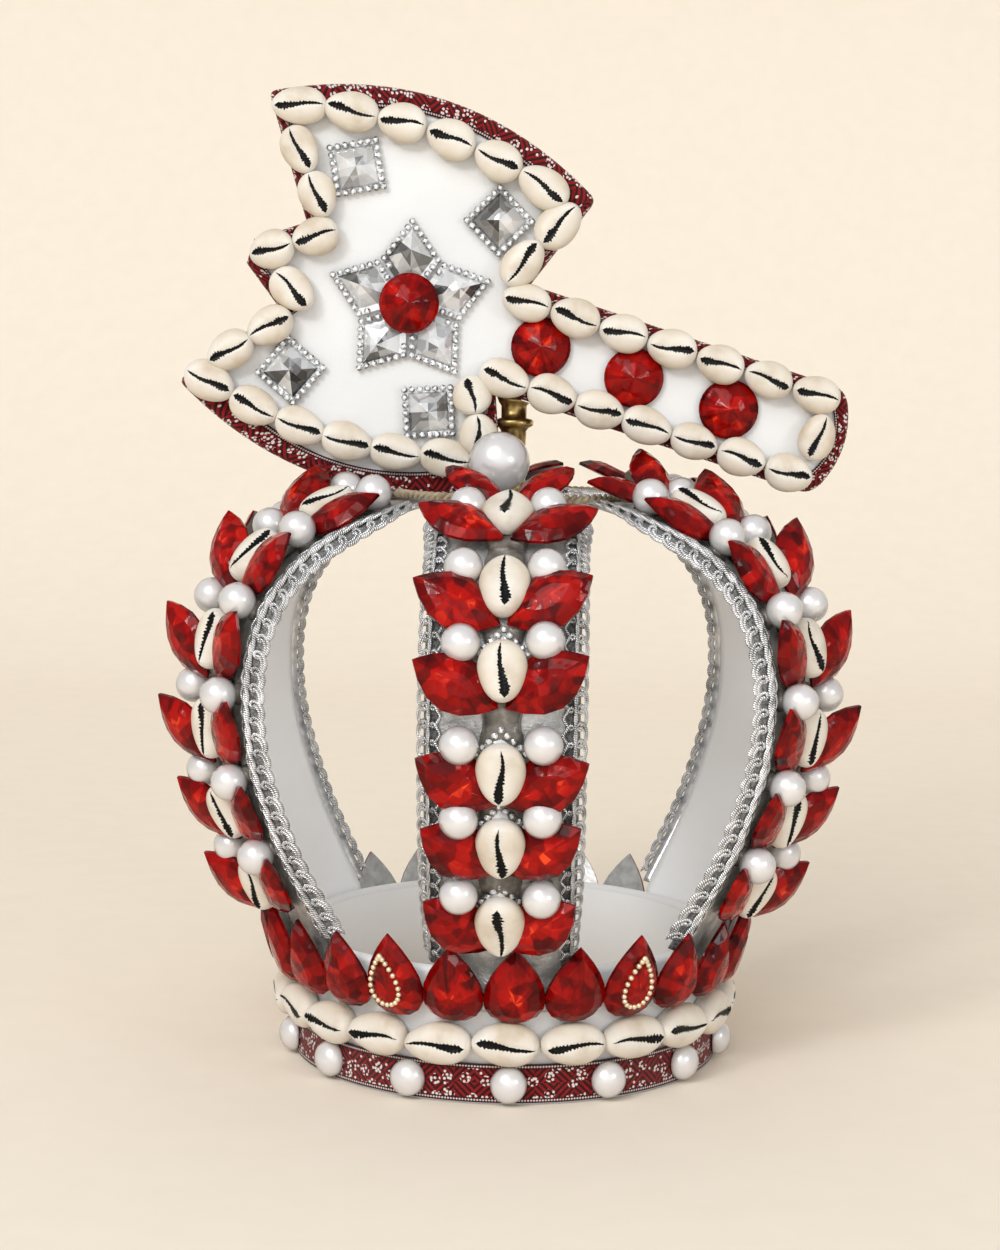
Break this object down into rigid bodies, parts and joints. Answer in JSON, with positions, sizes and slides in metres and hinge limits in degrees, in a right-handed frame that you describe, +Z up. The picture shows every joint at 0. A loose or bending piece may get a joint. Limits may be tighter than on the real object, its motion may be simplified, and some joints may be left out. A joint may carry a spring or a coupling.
{
  "type": "orisha crown",
  "caption": "Cage crown of arched silver strips on a cloth-covered band, set with red stones, pearls and cowries, topped by a tilted double axe edged with cowries.",
  "frame": {"origin": "centre of the band on the surface that the crown stands on", "axes": "+Z up, the front of the crown toward -Y, +X to the right of someone facing the front"},
  "size_m": [0.2234, 0.2307, 0.3256],
  "materials": {
    "red_stone": "gloss",
    "clear_stone": "polished",
    "shell": "satin",
    "pearl": "gloss",
    "ribbon": "satin",
    "cloth": "matte",
    "board": "matte",
    "lame": "satin",
    "braid": "satin",
    "brass": "satin"
  },
  "bodies": {
    "root": {"band_hoop": "board", "band_cover": "cloth", "band_ribbon": "ribbon", "band_pearl_01": "pearl", "band_pearl_02": "pearl", "band_pearl_03": "pearl", "band_pearl_04": "pearl", "band_pearl_05": "pearl", "band_pearl_06": "pearl", "band_pearl_07": "pearl", "band_pearl_08": "pearl", "band_pearl_09": "pearl", "band_pearl_10": "pearl", "band_pearl_11": "pearl", "band_pearl_12": "pearl", "band_pearl_13": "pearl", "band_pearl_14": "pearl", "band_cowries": "shell", "band_teardrops": "red_stone", "arch_strip_front": "lame", "arch_braid_front": "braid", "arch_spray_front": "red_stone", "arch_strip_right_front": "lame", "arch_braid_right_front": "braid", "arch_spray_right_front": "red_stone", "arch_strip_right_back": "lame", "arch_braid_right_back": "braid", "arch_spray_right_back": "red_stone", "arch_strip_back": "lame", "arch_braid_back": "braid", "arch_spray_back": "red_stone", "arch_strip_left_back": "lame", "arch_braid_left_back": "braid", "arch_spray_left_back": "red_stone", "arch_strip_left_front": "lame", "arch_braid_left_front": "braid", "arch_spray_left_front": "red_stone", "top_plate": "lame", "post_nut": "brass", "post_rod": "brass", "post": "brass", "top_pearl": "pearl", "axe_board": "board", "axe_cover_front": "cloth", "axe_cover_back": "cloth", "axe_ribbon": "ribbon", "axe_cowries": "shell", "handle_stone_1": "red_stone", "handle_stone_2": "red_stone", "handle_stone_3": "red_stone", "star_centre_stone": "red_stone", "axe_star": "clear_stone", "axe_mirror_1": "clear_stone", "axe_mirror_2": "clear_stone", "axe_mirror_3": "clear_stone", "axe_mirror_4": "clear_stone"}
  },
  "joints": []
}
